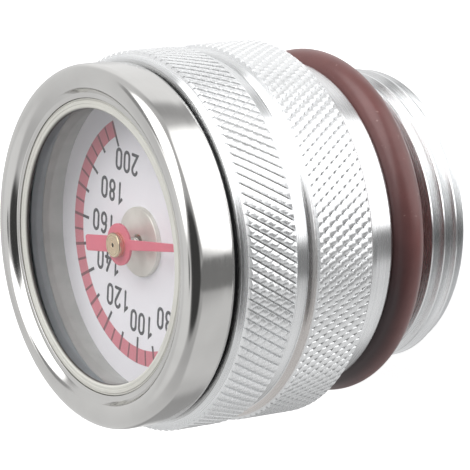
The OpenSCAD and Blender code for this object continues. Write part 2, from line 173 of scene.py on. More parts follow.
def add(tree, kind, inputs=None, **settings):
    """Adds one node with its settings. An input given a socket or node is linked, and any other is set."""
    node = tree.nodes.new(kind)
    for name, value in settings.items():
        setattr(node, name, value)
    for name, value in (inputs or {}).items():
        if isinstance(value, bpy.types.Node):
            value = value.outputs[0]
        if isinstance(value, bpy.types.NodeSocket):
            tree.links.new(value, node.inputs[name])
        else:
            node.inputs[name].default_value = value
    return node


def start(name, **plain):
    """A new material with its Principled shader, whose plain values are set on its own sockets."""
    made = bpy.data.materials.new(name)
    made.use_nodes = True
    tree = made.node_tree
    shader = tree.nodes["Principled BSDF"]
    for socket, value in plain.items():
        shader.inputs[socket.replace("_", " ")].default_value = value
    place = add(tree, "ShaderNodeTexCoord").outputs["Object"]
    return made, tree, shader, place


def ramp(tree, factor, low, high, start_at=0.0, end_at=1.0):
    """The colour between two tones that follows a factor."""
    node = add(tree, "ShaderNodeValToRGB", {"Fac": factor})
    for stop, position, tone in zip(node.color_ramp.elements, (start_at, end_at), (low, high)):
        stop.position = position
        stop.color = (*tone, 1.0)
    return node.outputs["Color"]


def spread(tree, factor, low, high, from_low=0.3, from_high=0.7):
    """A number between low and high that follows a factor."""
    node = add(tree, "ShaderNodeMapRange", {"Value": factor, "From Min": from_low, "From Max": from_high,
                                            "To Min": low, "To Max": high})
    return node.outputs["Result"]


def maths(tree, operation, first, second=0.0):
    """The result of one operation on two numbers, each a socket or a value."""
    return add(tree, "ShaderNodeMath", {0: first, 1: second}, operation=operation).outputs["Value"]


def split(tree, vector):
    """The X, Y and Z sockets of a vector."""
    return add(tree, "ShaderNodeSeparateXYZ", {"Vector": vector}).outputs


def layer(tree, under, over, share):
    """One tone laid over another by a share."""
    return add(tree, "ShaderNodeMix", {0: share, 6: under, 7: over}, data_type="RGBA").outputs[2]


def lathe_place(tree, place):
    """Coordinates of radius and height, in which a noise makes the rings that a lathe leaves."""
    parts = split(tree, place)
    flat = add(tree, "ShaderNodeCombineXYZ", {"X": parts["X"], "Y": parts["Y"]})
    radius = add(tree, "ShaderNodeVectorMath", {0: flat}, operation="LENGTH").outputs["Value"]
    return add(tree, "ShaderNodeCombineXYZ", {"X": radius, "Y": parts["Z"]}).outputs["Vector"]


def noise(tree, place, per_mm, detail=2.0, rough=0.5):
    """Noise whose grain is given in grains per mm."""
    node = add(tree, "ShaderNodeTexNoise", {"Vector": place, "Scale": per_mm / MM, "Detail": detail,
                                            "Roughness": rough})
    return node.outputs["Fac"]


def surface(tree, shader, tone, rough, relief, relief_mm):
    """Gives a shader its tone, its gloss and a fine relief of a real depth."""
    node = add(tree, "ShaderNodeBump", {"Height": relief, "Distance": relief_mm * MM})
    for name, socket in (("Base Color", tone), ("Roughness", rough), ("Normal", node.outputs["Normal"])):
        tree.links.new(socket, shader.inputs[name])


def reopen(made):
    """A made material's tree and shader, the socket of its tone, and its coordinates."""
    tree = made.node_tree
    shader = tree.nodes["Principled BSDF"]
    tone = shader.inputs["Base Color"].links[0].from_socket
    return tree, shader, tone, add(tree, "ShaderNodeTexCoord").outputs["Object"]


def turned_metal(name, tone, dark, rough, rings, ring_mm, stains=0.15, metallic=1.0, stretch=0.0):
    """Metal with lathe rings, slow stains in its tone and small changes in its gloss.

    Rings and stains are counted per mm. Stretch draws its gloss out across the rings, as rings too fine to
    show do.
    """
    made, tree, shader, place = start(name, Metallic=metallic, Anisotropic=stretch)
    if stretch:
        around = add(tree, "ShaderNodeVectorMath", {0: place, 1: (0, 0, 1)}, operation="CROSS_PRODUCT")
        turned_way = add(tree, "ShaderNodeVectorTransform", {"Vector": around},
                         vector_type="VECTOR", convert_from="OBJECT", convert_to="WORLD")
        tree.links.new(turned_way.outputs["Vector"], shader.inputs["Tangent"])
        shader.inputs["Anisotropic Rotation"].default_value = 0.25
    ring = noise(tree, lathe_place(tree, place), rings, 3.0)
    tone_patch = noise(tree, place, stains, 3.0)
    surface(tree, shader, ramp(tree, tone_patch, dark, tone, 0.3, 0.62),
            spread(tree, ring, rough * 0.75, rough * 1.35), ring, ring_mm)
    return made


def soft_rubber(name, tone, dark, rough, grains, grain_mm):
    """Moulded rubber with a matt skin and faint bloom. Grains are counted per mm."""
    made, tree, shader, place = start(name, IOR=1.5)
    bloom = noise(tree, place, 0.25, 4.0, 0.6)
    grain = noise(tree, place, grains, 3.0)
    surface(tree, shader, ramp(tree, bloom, dark, tone, 0.3, 0.7),
            spread(tree, grain, rough * 0.85, rough * 1.15), grain, grain_mm)
    return made


def lacquer(name, tone, dark, rough, grains, grain_mm, gloss=0.5):
    """Sprayed or printed paint: even tone with a faint cloud and a fine orange peel, in grains per mm."""
    made, tree, shader, place = start(name, IOR=1.48, Specular_IOR_Level=gloss)
    cloud = noise(tree, place, 0.4, 4.0, 0.6)
    peel = noise(tree, place, grains)
    surface(tree, shader, ramp(tree, cloud, dark, tone, 0.3, 0.7),
            spread(tree, peel, rough * 0.8, rough * 1.2), peel, grain_mm)
    return made


def dusted_and_shaded(made):
    """Adds dust specks to the seal, and painted shade on its upper side under the grip, stronger towards +Y.
    """
    tree, shader, tone, place = reopen(made)
    dust = spread(tree, noise(tree, place, 1.9, 1.0), 0.0, 0.5, 0.75, 0.79)
    tone = layer(tree, tone, paint("A98A84"), dust)
    parts = split(tree, place)
    shade_by_collar = spread(tree, parts["Z"], 0.0, 1.0, 8.2 * MM, 9.8 * MM)
    lower = spread(tree, parts["Y"], 0.15, 0.9, -12 * MM, 4 * MM)
    # Painted shade: dark brown laid on the seal's upper side near the collar, stronger towards +Y
    tone = layer(tree, tone, paint("2A2224"), maths(tree, "MULTIPLY", shade_by_collar, lower))
    tree.links.new(tone, shader.inputs["Base Color"])


def shaded_wall(made):
    """Darkens the gasket down its inner wall over the glass: painted shade, where the wall lies in shade."""
    tree, shader, tone, place = reopen(made)
    lit = spread(tree, split(tree, place)["Z"], 0.0, 1.0, 34.22 * MM, 34.44 * MM)
    # Painted shade: dark brown grey low on the inner wall
    tree.links.new(layer(tree, paint("3A3634"), tone, lit), shader.inputs["Base Color"])


def reddened(made):
    """Makes printed ink redder and paler where it crosses the red band."""
    tree, shader, tone, place = reopen(made)
    radius = split(tree, lathe_place(tree, place))["X"]
    crossed = spread(tree, radius, 0.0, 1.0, (RED_IN - 0.05) * MM, (RED_IN + 0.05) * MM)
    tree.links.new(layer(tree, tone, paint("8A5A60"), crossed), shader.inputs["Base Color"])


# Tints laid over the aluminium: a painted reflection of the seal in the skirt's relief, painted shade in the
# rear knurl's grooves, a warm grey tint on the cove above it and painted shade in the front knurl's grooves.
# Each limit takes it from none to whole, in mm. Down is the way down in the camera's view, along the object's
# Y.
PAINTED_SHADE_AND_TINTS = (
    # Painted reflection of the brown seal in the skirt's relief, growing towards +Y
    ("C09894", (("radius", 14.5, 14.12), ("radius", 13.6, 13.9), ("height", 7.6, 6.9), ("height", 4.9, 5.3),
                ("down", -9, -3))),
    # Painted shade in the grooves of the rear knurl
    ("8A847F", (("radius", 18.8, 18.68), ("height", 14.6, 15.0), ("height", 21.1, 20.9))),
    # Warm grey tint on the cove above the rear knurl, growing towards +Y
    ("DDD8D5", (("radius", 18.2, 18.26), ("height", 21.2, 21.3), ("height", 22.0, 21.9), ("down", -9, 3))),
    # Painted shade in the grooves of the front knurl, growing towards -Y
    ("5F574F", (("radius", 18.84, 18.7), ("height", 23.8, 24.0), ("height", 29.1, 28.9), ("down", 5, -10))),
)


def shaded_and_tinted(made):
    """Lays painted reflection, painted shade and a tint over the aluminium, and makes its rolled knurl matter
    and duller than what the lathe cut.
    """
    tree, shader, tone, place = reopen(made)
    lathe = split(tree, lathe_place(tree, place))
    ways = {"radius": lathe["X"], "height": lathe["Y"], "down": split(tree, place)["Y"]}
    for tone_patch, limits in PAINTED_SHADE_AND_TINTS:
        share = 1.0
        for way, none, whole in limits:
            share = maths(tree, "MULTIPLY", spread(tree, ways[way], 0.0, 1.0, none * MM, whole * MM), share)
        # Lays each painted reflection, painted shade or tint listed above
        tone = layer(tree, tone, paint(tone_patch), share)
    tree.links.new(tone, shader.inputs["Base Color"])
    knurl_from, knurl_to = (LAND_R + 0.1) * MM, (LAND_R + 0.3) * MM
    matt = spread(tree, lathe["X"], 0.0, 0.04, knurl_from, knurl_to)
    rough = maths(tree, "ADD", shader.inputs["Roughness"].links[0].from_socket, matt)
    tree.links.new(rough, shader.inputs["Roughness"])
    tree.links.new(spread(tree, lathe["X"], 1.0, 0.8, knurl_from, knurl_to), shader.inputs["Metallic"])


def float_glass(name):
    """Clear glass with the mirror gloss of its two faces. It lets the lamps through."""
    made, tree, shader, place = start(name, Metallic=1.0)
    smear = noise(tree, place, 0.2, 3.0)
    tree.links.new(ramp(tree, smear, linear("F7F7F7"), linear("FFFFFF")), shader.inputs["Base Color"])
    tree.links.new(spread(tree, smear, 0.0, 0.03), shader.inputs["Roughness"])
    clear = add(tree, "ShaderNodeBsdfTransparent", {"Color": paint("FDFDFD")})
    tilt = add(tree, "ShaderNodeLayerWeight", {"Blend": 0.5}).outputs["Facing"]
    shine = spread(tree, maths(tree, "POWER", tilt, 5.0), 0.03, 1.0, 0.0, 1.0)
    mix = add(tree, "ShaderNodeMixShader", {0: shine, 1: clear, 2: shader})
    tree.links.new(mix.outputs["Shader"], tree.nodes["Material Output"].inputs["Surface"])
    return made


def make_finish(name):
    """Makes the finish of that name. The numbers are its gloss, its grain per mm and its relief in mm."""
    t = tones()
    # Turned aluminium: nearly white metal with fine tool rings, painted shade in its knurl grooves and a
    # painted reflection of the seal in its relief
    if name == ALUMINIUM:
        shaded_and_tinted(turned_metal(name, t.aluminium, darker(t.aluminium, 0.08), 0.24, 9, 0.003, stretch=0.9))
    # Deep drawn stainless steel, polished: mirror with soft draw lines
    elif name == "polished_stainless":
        turned_metal(name, t.steel, darker(t.steel, 0.12), 0.11, 5, 0.0012, stains=0.12)
    # Vulcanised brown rubber: satin skin with a few specks, and painted shade on its upper side
    elif name == "brown_seal_rubber":
        dusted_and_shaded(soft_rubber(name, t.seal, darker(t.seal, 0.25), 0.32, 12, 0.004))
    # Black rubber: dull, takes up dust
    elif name == "black_sleeve_rubber":
        soft_rubber(name, linear("202124"), linear("141416"), 0.5, 10, 0.006)
    # Seal seat rubber: dark blue grey, a little glossy
    elif name == "grey_seat_rubber":
        soft_rubber(name, linear("929C9E"), linear("828B8D"), 0.4, 10, 0.003)
    # Cream silicone: satin, faintly uneven, with painted shade in the crack over the glass
    elif name == "cream_silicone":
        shaded_wall(soft_rubber(name, t.gasket, darker(t.gasket, 0.1), 0.3, 10, 0.003))
    # Grey anodised spacer: streaks up its wall
    elif name == "anodised_spacer":
        lacquer(name, linear("B2B4B1"), linear("A0A29F"), 0.5, 6, 0.004, gloss=0.35)
    # White lacquered dial: matt, slightly blue
    elif name == "white_dial_lacquer":
        lacquer(name, t.dial, darker(t.dial, 0.03), 0.45, 8, 0.002)
    # Screen printed red band: flat and matt
    elif name == "red_dial_ink":
        lacquer(name, t.band, darker(t.band, 0.06), 0.5, 12, 0.002)
    # Screen printed dark ink: flat, and redder over the band
    elif name == "dark_dial_ink":
        reddened(lacquer(name, t.ink, darker(t.ink, 0.15), 0.5, 12, 0.002))
    # Sprayed red lacquer on the pointer: smooth and satin
    elif name == "red_pointer_lacquer":
        lacquer(name, t.pointer, darker(t.pointer, 0.08), 0.35, 10, 0.003)
    # Turned brass: a little dull
    elif name == "turned_brass":
        turned_metal(name, t.brass, darker(t.brass, 0.15), 0.26, 9, 0.003, stains=0.8)
    # Nickel plated nut: strong facing rings
    elif name == "nickel_plate":
        turned_metal(name, linear("EBE9E1"), linear("D8D5CC"), 0.36, 5, 0.004, stains=0.4, metallic=0.45)
    # Drawn steel of case and tube: grey and even
    elif name == "drawn_steel":
        turned_metal(name, linear("C4C4C3"), linear("AFAFAF"), 0.28, 6, 0.003, stains=0.3)
    # Phosphor bronze washer: warm and satin
    elif name == "phosphor_bronze":
        turned_metal(name, linear("C79A6B"), linear("A97F55"), 0.3, 6, 0.003, stains=0.4)
    # Bimetal strip: straw coloured heat tint
    elif name == "tinted_bimetal":
        turned_metal(name, linear("C9B27C"), linear("9A7F5C"), 0.3, 5, 0.002, stains=0.9)
    # Float glass: clear, with mirror gloss at a low angle
    elif name == "float_glass":
        float_glass(name)
    else:
        raise ValueError("no finish named " + name)


def finish(name):
    """The finish of that name, made on first use."""
    if name not in bpy.data.materials:
        make_finish(name)
    return bpy.data.materials[name]


# Shapes


def bow(x, y, wide, tall, first, last, steps=14):
    """Points of an elliptical arc between two angles in degrees."""
    turns = [math.radians(first + (last - first) * k / steps) for k in range(steps + 1)]
    return [(x + wide * math.cos(t), y + tall * math.sin(t)) for t in turns]


def arc(x, y, radius, first, last, steps):
    """Points of a round arc between two angles in degrees."""
    return bow(x, y, radius, radius, first, last, steps)


def eased(corners, steps=5, closed=True):
    """Outline whose corners, given as (radius, height, ease), are rounded by their ease."""
    made = []
    count = len(corners)
    for i, corner in enumerate(corners):
        point = Vector(corner[:2])
        inner = closed or 0 < i < count - 1
        if len(corner) < 3 or not inner:
            made.append(tuple(point))
            continue
        before = Vector(corners[i - 1][:2]) - point
        after = Vector(corners[(i + 1) % count][:2]) - point
        half = before.angle(after) / 2
        back = min(corner[2] / math.tan(half), 0.49 * before.length, 0.49 * after.length)
        middle = point + (before.normalized() + after.normalized()).normalized() * (back / math.cos(half))
        first = point + before.normalized() * back - middle
        last = point + after.normalized() * back - middle
        turn = first.angle(last)
        for k in range(steps + 1):
            share = k / steps
            spoke = (first * math.sin((1 - share) * turn) + last * math.sin(share * turn)) / math.sin(turn)
            made.append(tuple(middle + spoke))
    return made


def placed(name, data):
    """A new object in the scene."""
    made = bpy.data.objects.new(name, data)
    bpy.context.scene.collection.objects.link(made)
    return made


def evaluated(made):
    """Plain mesh of an object with its modifiers."""
    return bpy.data.meshes.new_from_object(made.evaluated_get(bpy.context.evaluated_depsgraph_get()))


def piece(name, mesh, look, sharp=35.0):
    """A finished object from a mesh in metres, shaded evenly with sharp edges kept."""
    mesh.shade_smooth()
    mesh.set_sharp_from_angle(angle=math.radians(sharp))
    mesh.materials.clear()
    mesh.materials.append(finish(look))
    made = placed(name, mesh)
    even = made.modifiers.new("Even shading", "WEIGHTED_NORMAL")
    even.keep_sharp = True
    made.data = evaluated(made)
    made.modifiers.clear()
    return made


def stand_for(made, body, slot, *nodes):
    """Puts a piece on its body and hides the solids that it stands for. Its slot is not used."""
    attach(made, body)
    if nodes:
        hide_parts(*nodes)


def revolve(outline):
    """Mesh turned round Z from a closed outline in mm. Points on the axis become poles."""
    shape = bmesh.new()
    rows = []
    for radius, height in outline:
        if radius < TINY:
            rows.append([shape.verts.new((0, 0, height * MM))])
            continue
        turns = [2 * math.pi * i / SLICES for i in range(SLICES)]
        rows.append([shape.verts.new(Vector((radius * math.cos(t), radius * math.sin(t), height)) * MM)
                     for t in turns])
    for row, above in zip(rows, rows[1:] + rows[:1]):
        if len(row) == 1 and len(above) == 1:
            continue
        for i in range(SLICES):
            k = (i + 1) % SLICES
            corners = [row[i % len(row)], row[k % len(row)], above[k % len(above)], above[i % len(above)]]
            shape.faces.new(list(dict.fromkeys(corners)))
    return closed_mesh(shape)


def as_mesh(shape):
    """Plain mesh of a shape, which is freed."""
    mesh = bpy.data.meshes.new("shape")
    shape.to_mesh(mesh)
    shape.free()
    return mesh


def closed_mesh(shape):
    """Plain mesh of a closed shape, welded, with its faces outwards."""
    bmesh.ops.remove_doubles(shape, verts=shape.verts, dist=WELD)
    bmesh.ops.recalc_face_normals(shape, faces=shape.faces)
    return as_mesh(shape)


def joined(*meshes):
    """One closed mesh of meshes whose ends meet."""
    shape = bmesh.new()
    for mesh in meshes:
        shape.from_mesh(mesh)
    return closed_mesh(shape)


def turned(name, outline, look, body, slot, node, sharp=35.0):
    """Adds a piece turned from an outline, which stands for a solid."""
    stand_for(piece(name, revolve(outline), look, sharp), body, slot, node)


def prism(shape, outline, low, high):
    """Adds a flat solid in metres from an outline in mm between two heights in mm."""
    floor, roof = ([shape.verts.new((x * MM, y * MM, z * MM)) for x, y in outline] for z in (low, high))
    shape.faces.new(floor[::-1])
    shape.faces.new(roof)
    for i, corner in enumerate(floor):
        shape.faces.new((floor[i - 1], corner, roof[i], roof[i - 1]))


def slab(outline, low, high):
    """Closed flat mesh from an outline in mm between two heights in mm."""
    shape = bmesh.new()
    prism(shape, outline, low, high)
    bmesh.ops.recalc_face_normals(shape, faces=shape.faces)
    return as_mesh(shape)


# Flat working space for knurl and thread: x counts columns, y is the radius and z the height, in mm


def cut(shape, at, across, clear=False):
    """Cuts a flat shape by a plane, and drops what lies on the plane's far side where asked."""
    everything = shape.verts[:] + shape.edges[:] + shape.faces[:]
    bmesh.ops.bisect_plane(shape, geom=everything, dist=TINY, plane_co=at, plane_no=across, clear_outer=clear)


def cone_limit(shape, low, high):
    """Cuts a flat shape down to the cone through two (radius, height) points."""
    slope = (high[0] - low[0]) / (high[1] - low[1])
    cut(shape, (0, low[0], low[1]), (0, 1, -slope))
    for v in shape.verts:
        v.co.y = min(v.co.y, low[0] + slope * (v.co.z - low[1]))


def trim(shape, low, high):
    """Cuts off both ends of a flat shape, each at a chamfer given by two (radius, height) points."""
    cone_limit(shape, *low)
    cone_limit(shape, *high)
    cut(shape, (0, 0, low[0][1]), (0, 0, -1), clear=True)
    cut(shape, (0, 0, high[1][1]), (0, 0, 1), clear=True)


def edge_strips(shape, height, columns):
    """Points of a cut edge in strips, one between each column and the next."""
    edge = sorted((v for v in shape.verts if abs(v.co.z - height) < NEAR), key=lambda v: v.co.x)
    return [[v for v in edge if left - NEAR <= v.co.x <= right + NEAR]
            for left, right in zip(columns, columns[1:])]


def join_rows(shape, edge_height, columns, rows):
    """Carries a cut edge on to rows of (radius, height) points, one for each column."""
    strips = edge_strips(shape, edge_height, columns)
    made = [[shape.verts.new((x, radius, height)) for x in columns] for radius, height in rows]
    for i, strip in enumerate(strips):
        shape.faces.new(strip + [made[0][i + 1], made[0][i]])
        for row, above in zip(made, made[1:]):
            shape.faces.new((row[i], row[i + 1], above[i + 1], above[i]))
    return made[-1]


def wrap(shape, degrees_per_column):
    """Bends the flat shape round Z and turns mm into metres."""
    for v in shape.verts:
        turn = math.radians(v.co.x * degrees_per_column)
        v.co = Vector((v.co.y * math.cos(turn), v.co.y * math.sin(turn), v.co.z)) * MM


def knurl(bottom, top, rows, depth, deep_way, saddle, cross, reach):
    """Flat knurl two columns wide, from below to above its band, with one way of its grooves the deeper.

    Deep way is 1 where the deep grooves rise with the turn, and -1 where they fall. Saddle is the share of
    the depth that stands in a deep groove between its pits. The other grooves climb its walls to the share
    cross, which they get to at the share reach of the way from the ridge's middle.
    """
    shape = bmesh.new()
    tall = (top - bottom) / rows
    # Shares of a diamond: how far the ridge's worn shoulder and crest run along it, how wide the shoulder
    # is, and how high the shoulder and the notch between two crests stand
    shoulder_run, crest_run, shoulder_wide, shoulder_high, notch_high = 0.72, 0.57, 0.7, 0.78, 0.86

    def corners(middle, along, across, height):
        """Four points round a diamond's middle, at shares of its reach along and across its ridge."""
        made = {}
        for i in (-1, 1):
            for k in (-1, 1):
                u, v = (i * along, k * across) if deep_way > 0 else (k * across, i * along)
                made[i, k] = shape.verts.new((middle[0] + (u + v) / 2, GRIP_R - depth * (1 - height),
                                              middle[1] + (u - v) * tall / 4))
        return made

    for step in range(-2, 2 * rows + 3):
        for x in (0.0,) if step % 2 else (-1.0, 1.0):
            middle = (x, bottom + step * tall / 2)
            pit = corners(middle, 1, 1, 0.0)
            between = corners(middle, 0.0, 1, saddle)
            side = corners(middle, 1, reach, cross)
            edge = corners(middle, shoulder_run, shoulder_wide, shoulder_high)
            notch = corners(middle, 1, 0.0, notch_high)
            crest = corners(middle, crest_run, 0.0, 1.0)
            for k in (-1, 1):
                for i in (-1, 1):
                    shape.faces.new((pit[i, k], between[i, k], edge[i, k], side[i, k]))
                    shape.faces.new((side[i, k], edge[i, k], crest[i, k], notch[i, k]))
                shape.faces.new((between[1, k], between[-1, k], edge[-1, k], edge[1, k]))
                shape.faces.new((edge[1, k], edge[-1, k], crest[-1, k], crest[1, k]))
    bmesh.ops.remove_doubles(shape, verts=shape.verts, dist=1e-4)
    cut(shape, (1, 0, 0), (1, 0, 0), clear=True)
    cut(shape, (-1, 0, 0), (-1, 0, 0), clear=True)
    cut(shape, (0, 0, 0), (1, 0, 0))
    return shape


def new_tree(name, *inputs):
    """Geometry node tree with one output and named inputs, which are floats where no kind is given."""
    tree = bpy.data.node_groups.new(name, "GeometryNodeTree")
    for socket in inputs:
        label, _, kind = socket.partition(": ")
        tree.interface.new_socket(label, in_out="INPUT", socket_type="NodeSocket" + (kind or "Float"))
    tree.interface.new_socket("Result", in_out="OUTPUT", socket_type="NodeSocketGeometry")
    return tree, add(tree, "NodeGroupInput").outputs


def copies(tree, given, turn, place=(0, 0, 0), scale=(1, 1, 1), weld=None):
    """Ends a tree: sets its shape at each turn round Z, makes it real, welds it and gives it its finish."""
    points = add(tree, "GeometryNodePoints", {"Count": given["Count"], "Position": place})
    around = add(tree, "FunctionNodeAxisAngleToRotation", {"Axis": (0, 0, 1), "Angle": turn})
    made = add(tree, "GeometryNodeInstanceOnPoints", {
        "Points": points, "Instance": given["Shape"], "Rotation": around, "Scale": scale})
    real = add(tree, "GeometryNodeRealizeInstances", {"Geometry": made})
    if weld:
        real = add(tree, "GeometryNodeMergeByDistance", {"Geometry": real, "Distance": weld})
    look = add(tree, "GeometryNodeSetMaterial", {"Geometry": real, "Material": given["Finish"]})
    add(tree, "NodeGroupOutput", {"Result": look})
    return tree


def slice_tree():
    """Node tree that repeats one slice round Z and welds the slices."""
    name = "Repeat slice round the axis"
    if name in bpy.data.node_groups:
        return bpy.data.node_groups[name]
    tree, given = new_tree(name, "Shape: Geometry", "Count: Int", "Weld distance", "Finish: Material")
    index = add(tree, "GeometryNodeInputIndex").outputs["Index"]
    turn = maths(tree, "MULTIPLY", index, maths(tree, "DIVIDE", 2 * math.pi, given["Count"]))
    return copies(tree, given, turn, weld=given["Weld distance"])


def grow(mesh, tree, values):
    """Mesh that a node tree makes from a mesh, with its named inputs set before it is first evaluated."""
    seed = placed("seed", mesh)
    nodes = seed.modifiers.new("Grow", "NODES")
    nodes.node_group = tree
    for socket in tree.interface.items_tree:
        if socket.in_out == "INPUT" and socket.name in values:
            nodes[socket.identifier] = values[socket.name]
    made = evaluated(seed)
    bpy.data.objects.remove(seed)
    return made


def ring_of_slices(shape, count, look):
    """Closed ring of wrapped slices."""
    wrap(shape, 180 / count)
    values = {"Count": count, "Weld distance": WELD, "Finish": finish(look)}
    return grow(as_mesh(shape), slice_tree(), values)


def thread(low, high, join_height, bore_r, columns):
    """Threaded skirt between two chamfers, closed but for its two rings at the join height."""
    s = sizes()
    pitch = s.thread_pitch / MM
    half = pitch / 2
    crest = low[1][0]
    root = crest - s.thread_depth / MM
    # Height of a crest on the side that the photograph shows nearest
    near_crest = 1.4
    flank = ((half - 0.11, root), (half - 0.15, root + 0.05), (0.13, crest - 0.06), (0.08, crest))
    outline = [(-z, r) for z, r in flank] + [*flank[::-1]]
    shape = bmesh.new()
    lines = []
    for x in range(columns + 1):
        rise = near_crest - pitch * NEAR_SIDE / 360 + pitch * x / columns
        lines.append([shape.verts.new((x, r, rise + turn * pitch + z)) for turn in range(-2, 5)
                      for z, r in outline])
    for line, after in zip(lines, lines[1:]):
        for i in range(len(line) - 1):
            shape.faces.new((line[i], after[i], after[i + 1], line[i + 1]))
    trim(shape, low, high)
    spots = [float(x) for x in range(columns + 1)]
    rim = eased([(13.6, low[0][1]), (bore_r, low[0][1], 0.25), (bore_r, join_height)], closed=False)
    join_rows(shape, low[0][1], spots, rim)
    join_rows(shape, high[1][1], spots, [(high[1][0], join_height)])
    wrap(shape, 360 / columns)
    return as_mesh(shape)


# Pieces


class OILCAP_OT_cap(bpy.types.Operator):
    """Cap with its rear knurled grip, collar and filler thread"""

    bl_idname = "oilcap.cap"
    bl_label = "Cap"

    def execute(self, context):
        s = sizes()
        spigot_top = span("cap_body")[2]
        foot, top = REAR_BAND
        chamfer, edge = 0.6, 0.2
        low, high = foot - chamfer, top + edge
        thread_r, thread_end, lead, run_out, join = 15.0, 4.9, 0.6, 0.475, 7.0
        relief_r, bowl_r, stem_r, nut_r, spigot_r, shoulder_r = 14.05, 12.4, 5.05, 9.5, 13.0, 17.02
        collar_low, step, web_low, web_high, waist_top = 10.21, 12.83, 9.0, 15.0, 22.0
        depth = s.groove_depth / MM * 0.8
        shape = knurl(foot, top, s.rear_rows, depth, deep_way=-1, saddle=0.68, cross=0.7, reach=0.6)
        trim(shape, ((GRIP_R - chamfer, low), (GRIP_R, foot)), ((GRIP_R, top), (GRIP_R - 2 * edge, high)))
        cove = [(18.62, 21.3), (18.62, 21.44), (18.56, 21.5), (18.4, 21.72), (18.24, 21.97)]
        inside = eased([
            (LAND_R, waist_top), (LAND_R, waist_top + 0.06), (spigot_r, waist_top),
            (spigot_r, spigot_top, 0.4), (nut_r, spigot_top, 0.3), (nut_r, web_high),
            (stem_r, web_high, 0.3), (stem_r, web_low, 0.3), (bowl_r, web_low, 1.0), (bowl_r, join)],
            closed=False)
        collar = eased([
            (18.0, low), (shoulder_r, low, 0.06), (shoulder_r, step, 0.05), (16.88, step, 0.03),
            (16.6, 10.75, 0.4), (16.03, collar_low), (relief_r, collar_low, 0.2), (relief_r, join)],
            closed=False)
        join_rows(shape, high, COLUMNS, cove + inside)
        join_rows(shape, low, COLUMNS, collar)
        skirt = thread(((thread_r - lead, 0.0), (thread_r, lead)),
                       ((thread_r, thread_end), (relief_r, thread_end + run_out)),
                       join, bowl_r, 2 * s.grooves)
        grip = ring_of_slices(shape, s.grooves, ALUMINIUM)
        made = piece("knurled_cap", joined(grip, skirt), ALUMINIUM, sharp=28)
        stand_for(made, "cap", "turned_aluminium", "cap_body")
        return {"FINISHED"}


class OILCAP_OT_holder(bpy.types.Operator):
    """Gauge holder with its front knurled grip and smooth waist"""

    bl_idname = "oilcap.holder"
    bl_label = "Gauge holder"

    def execute(self, context):
        s = sizes()
        web_low, face = span("gauge_holder")[1:]
        case_foot = span("gauge_case")[1]
        web_high = span("friction_washer")[1]
        foot, top = FRONT_BAND
        edge = 0.22
        low, high = foot - edge, top + edge
        lip_r, case_r, nut_r, spigot_r = 17.45, 16.9, 15.6, 13.05
        depth = s.groove_depth / MM
        shape = knurl(foot, top, s.front_rows, depth, deep_way=1, saddle=0.12, cross=0.66, reach=0.8)
        trim(shape, ((GRIP_R - edge, low), (GRIP_R, foot)), ((GRIP_R, top), (GRIP_R - edge, high)))
        strips = edge_strips(shape, low, COLUMNS)
        inside = eased([
            (18.6, high + 0.06), (LAND_R, face, 0.06), (lip_r, face, 0.06), (lip_r, high),
            (case_r, high, 0.08), (case_r, case_foot), (nut_r, case_foot, 0.1), (nut_r, web_high),
            (spigot_r, web_high, 0.1), (spigot_r, web_low, 0.1), (LAND_R, web_low, 0.02), (LAND_R, low, 0.08),
            (18.4, low)], closed=False)
        last = join_rows(shape, high, COLUMNS, inside)
        for i, strip in enumerate(strips):
            shape.faces.new(strip + [last[i + 1], last[i]])
        grip = ring_of_slices(shape, s.grooves, ALUMINIUM)
        made = piece("knurled_holder", joined(grip), ALUMINIUM, sharp=28)
        stand_for(made, "gauge", "holder_aluminium", "gauge_holder")
        return {"FINISHED"}


class OILCAP_OT_seal(bpy.types.Operator):
    """Brown seal ring under the collar"""

    bl_idname = "oilcap.seal"
    bl_label = "Seal ring"

    def execute(self, context):
        radius, foot, top = span("seal_ring")
        half = (top - foot) / 2
        ring = arc(radius - half, foot + half, half, 0, 352.5, 47)
        turned("seal_ring_rubber", ring, "brown_seal_rubber", "cap", "brown_rubber", "seal_ring")
        return {"FINISHED"}


